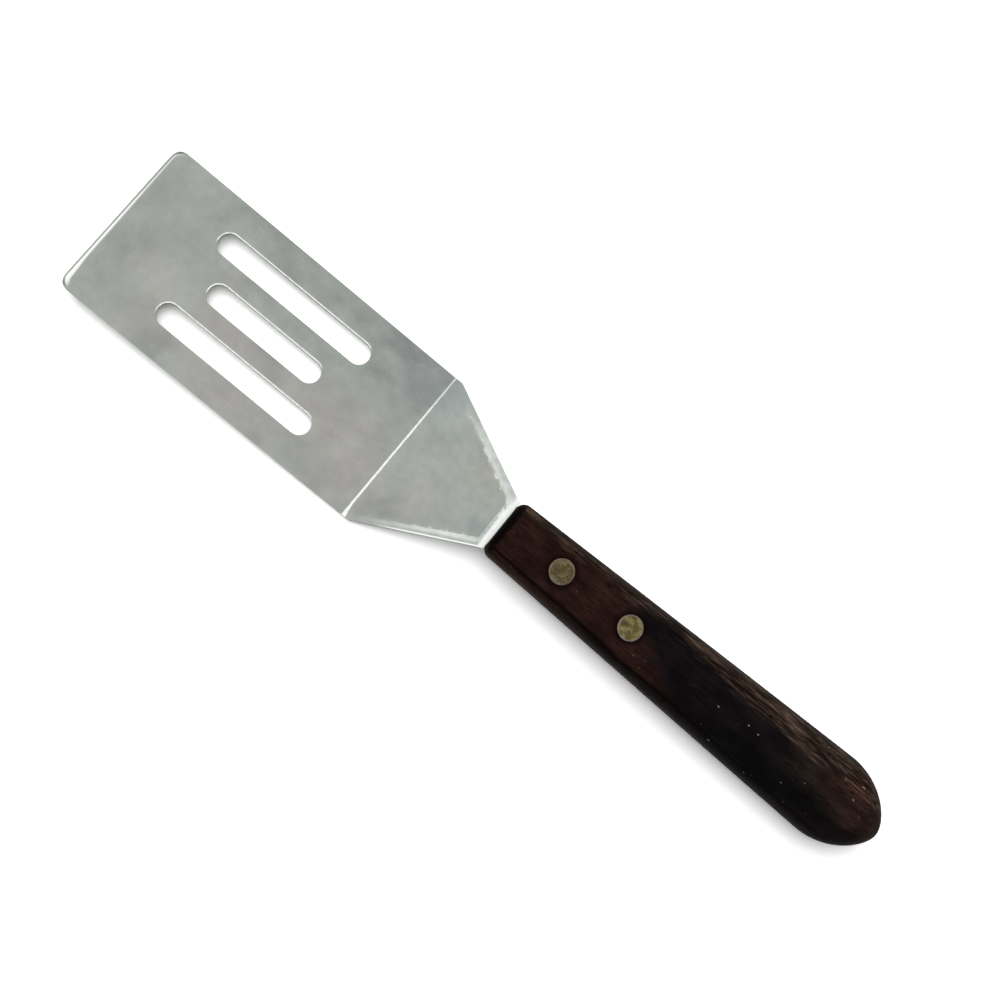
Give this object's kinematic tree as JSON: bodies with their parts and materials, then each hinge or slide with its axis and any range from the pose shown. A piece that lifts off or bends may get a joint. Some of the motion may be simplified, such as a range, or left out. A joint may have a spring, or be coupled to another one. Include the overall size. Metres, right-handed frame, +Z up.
{
  "type": "kitchen spatula",
  "caption": "Small slotted kitchen spatula: a flat stainless blade with long slots, a tapering raised neck, and a riveted rosewood handle.",
  "frame": {"origin": "below the middle of the whole length, on the plane that the blade and the handle's belly lie on", "axes": "+X from the blade's front edge towards the end of the handle, +Z up out of the blade's upper face, +Y across the blade"},
  "size_m": [0.2754, 0.0514, 0.016],
  "materials": {
    "stainless_sheet": "satin stainless steel, finely scuffed by use, with a bright burnished line along the bend and bright ground and rolled edges",
    "rosewood": "dark rosewood with straight grain, open pores and a worn satin oil finish",
    "front_rivet_brass": "dull grey-brown worn brass",
    "rear_rivet_brass": "yellow brass, finely pitted, with a paler rim"
  },
  "bodies": {
    "root": {"blade": "stainless_sheet", "handle": "rosewood", "front_rivet_upper": "front_rivet_brass", "front_rivet_lower": "front_rivet_brass", "rear_rivet_upper": "rear_rivet_brass", "rear_rivet_lower": "rear_rivet_brass"}
  },
  "joints": []
}
